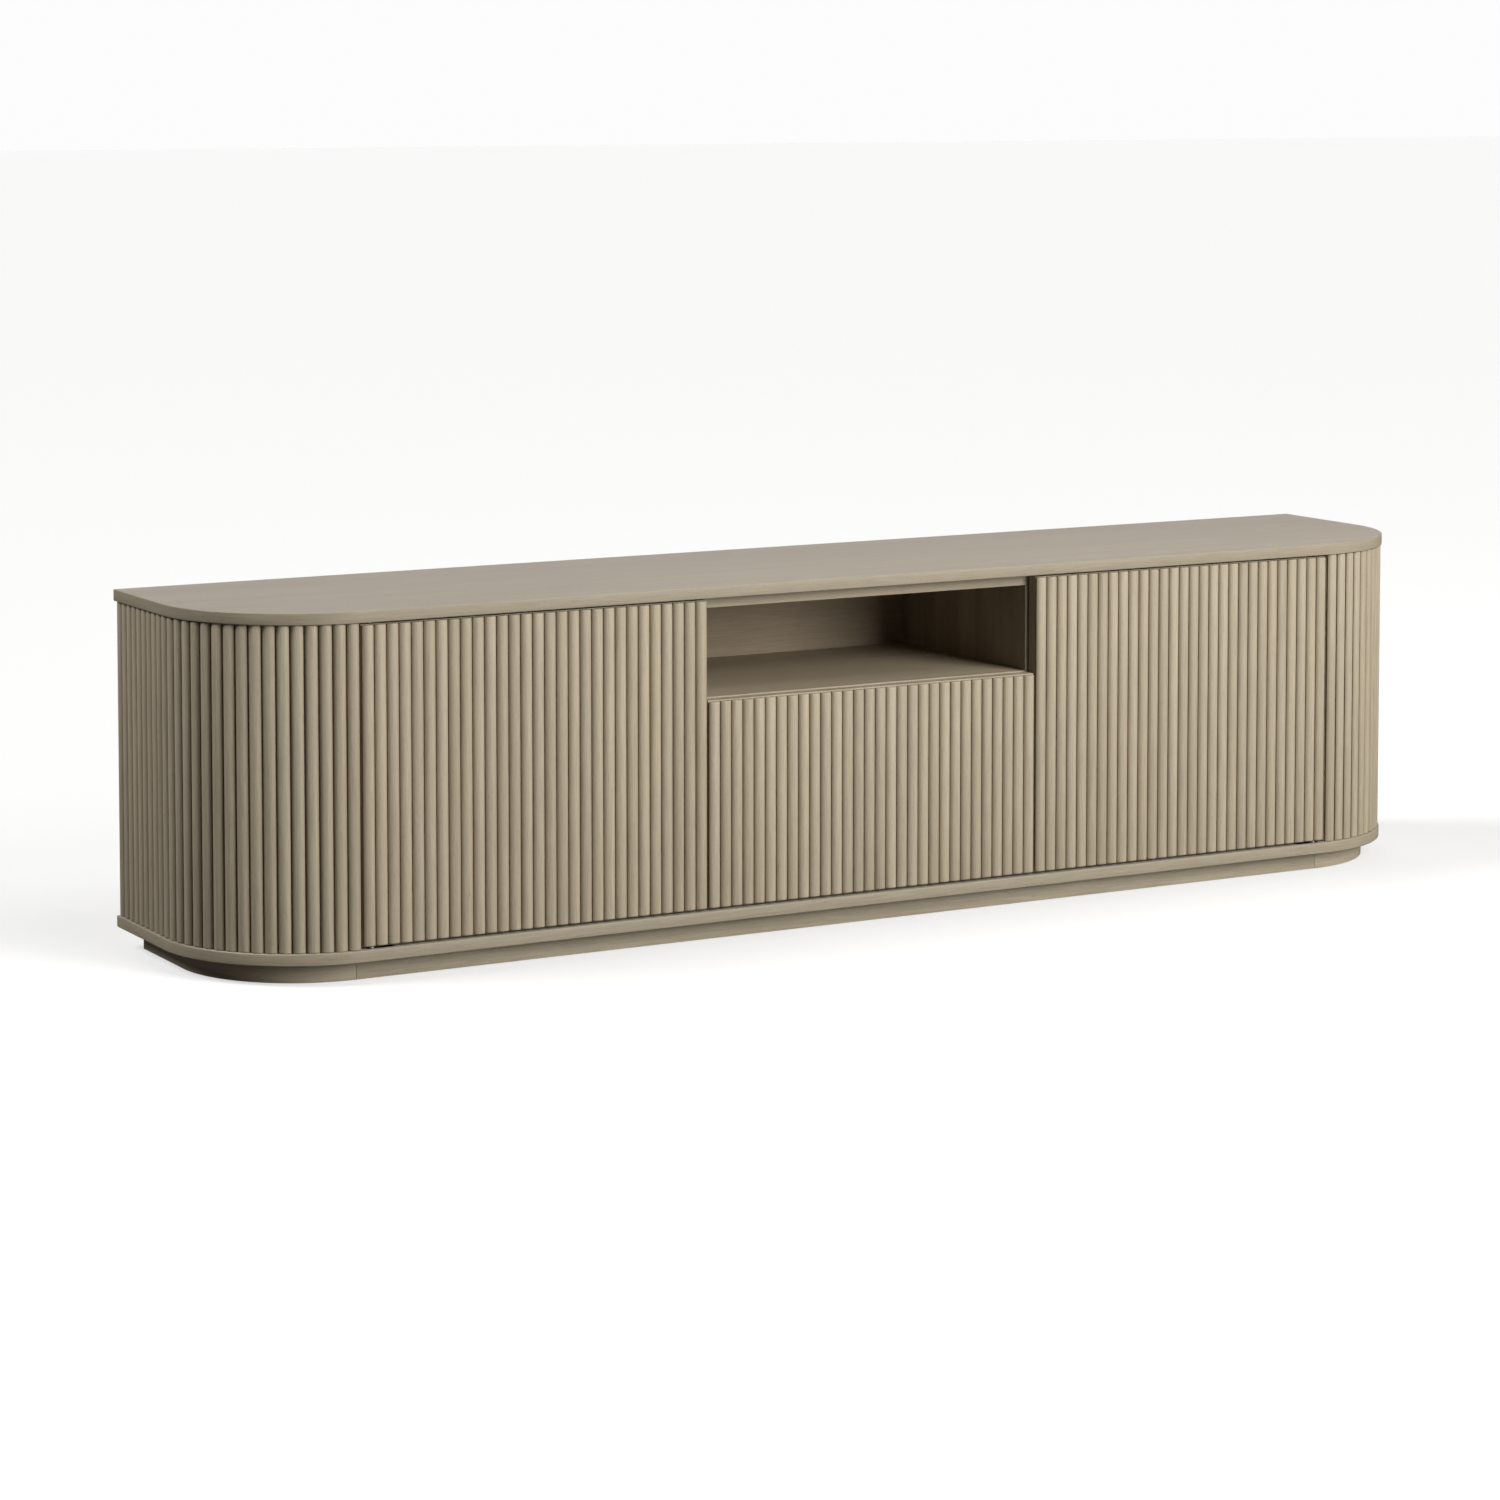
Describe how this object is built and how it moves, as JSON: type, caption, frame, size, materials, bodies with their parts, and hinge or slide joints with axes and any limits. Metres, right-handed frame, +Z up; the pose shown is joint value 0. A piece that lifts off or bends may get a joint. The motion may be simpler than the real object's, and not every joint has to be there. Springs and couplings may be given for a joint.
{
  "type": "media cabinet",
  "caption": "Long low media cabinet with rounded ends, rounded slat cladding, slatted doors, an open niche over a drawer and a recessed plinth.",
  "frame": {"origin": "on the floor, at the middle of the cabinet's footprint", "axes": "+X along the length to the right as seen from the front, the front faces -Y, +Z up"},
  "size_m": [2.2, 0.42, 0.55],
  "materials": {
    "veneer_panel": "satin",
    "slat_wood": "satin",
    "carcass_wood": "satin",
    "plinth_wood": "satin",
    "back_board": "satin",
    "drawer_wood": "satin",
    "steel": "satin",
    "zinc": "satin",
    "dark_plastic": "matte"
  },
  "bodies": {
    "cabinet": {"top_panel": "veneer_panel", "bottom_panel": "veneer_panel", "niche_shelf": "carcass_wood", "niche_top_board": "carcass_wood", "centre_back_panel": "back_board", "dowels": "drawer_wood", "carcass_screws": "steel", "back_screws": "steel", "pivot_screws": "zinc", "cable_grommets": "dark_plastic", "plinth_front": "plinth_wood", "plinth_back": "plinth_wood", "plinth_rails": "carcass_wood", "shelf_pins": "zinc", "runner_outer_members": "zinc", "latch_housings": "dark_plastic", "left_side_panel": "carcass_wood", "left_divider": "carcass_wood", "left_back_panel": "back_board", "left_end_shell": "carcass_wood", "left_end_slats": "slat_wood", "left_front_post": "carcass_wood", "left_rear_post": "carcass_wood", "left_plinth_end": "plinth_wood", "left_adjustable_shelf": "carcass_wood", "left_top_pivot": "zinc", "left_base_pivot": "zinc", "right_side_panel": "carcass_wood", "right_divider": "carcass_wood", "right_back_panel": "back_board", "right_end_shell": "carcass_wood", "right_end_slats": "slat_wood", "right_front_post": "carcass_wood", "right_rear_post": "carcass_wood", "right_plinth_end": "plinth_wood", "right_adjustable_shelf": "carcass_wood", "right_top_pivot": "zinc", "right_base_pivot": "zinc"},
    "left_door": {"left_door_panel": "slat_wood", "left_door_slats": "slat_wood", "left_door_bushes": "dark_plastic", "left_door_strike": "steel"},
    "right_door": {"right_door_panel": "slat_wood", "right_door_slats": "slat_wood", "right_door_bushes": "dark_plastic", "right_door_strike": "steel"},
    "drawer": {"drawer_front_panel": "slat_wood", "drawer_front_slats": "slat_wood", "drawer_front_screws": "zinc", "left_drawer_side": "drawer_wood", "right_drawer_side": "drawer_wood", "drawer_box_front": "drawer_wood", "drawer_box_back": "drawer_wood", "drawer_bottom": "drawer_wood", "runner_inner_members": "zinc"},
    "runner_middle": {"runner_middle_members": "zinc"},
    "left_latch": {"left_latch_plunger": "dark_plastic"},
    "right_latch": {"right_latch_plunger": "dark_plastic"},
    "drawer_latch": {"drawer_latch_plunger": "dark_plastic"}
  },
  "joints": [
    {"name": "left_door_hinge", "type": "hinge", "parent": "cabinet", "child": "left_door", "pos_m": [-0.85765, -0.1953, 0.2905], "axis": [0, 0, -1], "range_deg": [0, 105]},
    {"name": "right_door_hinge", "type": "hinge", "parent": "cabinet", "child": "right_door", "pos_m": [0.85765, -0.1953, 0.2905], "axis": [0, 0, 1], "range_deg": [0, 105]},
    {"name": "drawer_slide", "type": "slide", "parent": "cabinet", "child": "drawer", "axis": [0, -1, 0], "range_m": [0, 0.3]},
    {"name": "runner_middle_slide", "type": "slide", "parent": "cabinet", "child": "runner_middle", "axis": [0, -1, 0], "range_m": [0, 0.15]},
    {"name": "left_latch_push", "type": "slide", "parent": "cabinet", "child": "left_latch", "axis": [0, 1, 0], "range_m": [0, 0.003], "stiffness_N_per_m": 300, "springref_m": -0.004},
    {"name": "right_latch_push", "type": "slide", "parent": "cabinet", "child": "right_latch", "axis": [0, 1, 0], "range_m": [0, 0.003], "stiffness_N_per_m": 300, "springref_m": -0.004},
    {"name": "drawer_latch_push", "type": "slide", "parent": "cabinet", "child": "drawer_latch", "axis": [0, 1, 0], "range_m": [0, 0.003], "stiffness_N_per_m": 300, "springref_m": -0.004}
  ],
  "couplings": [
    {"joint": "runner_middle_slide", "follows": "drawer_slide", "ratio": 0.5}
  ]
}
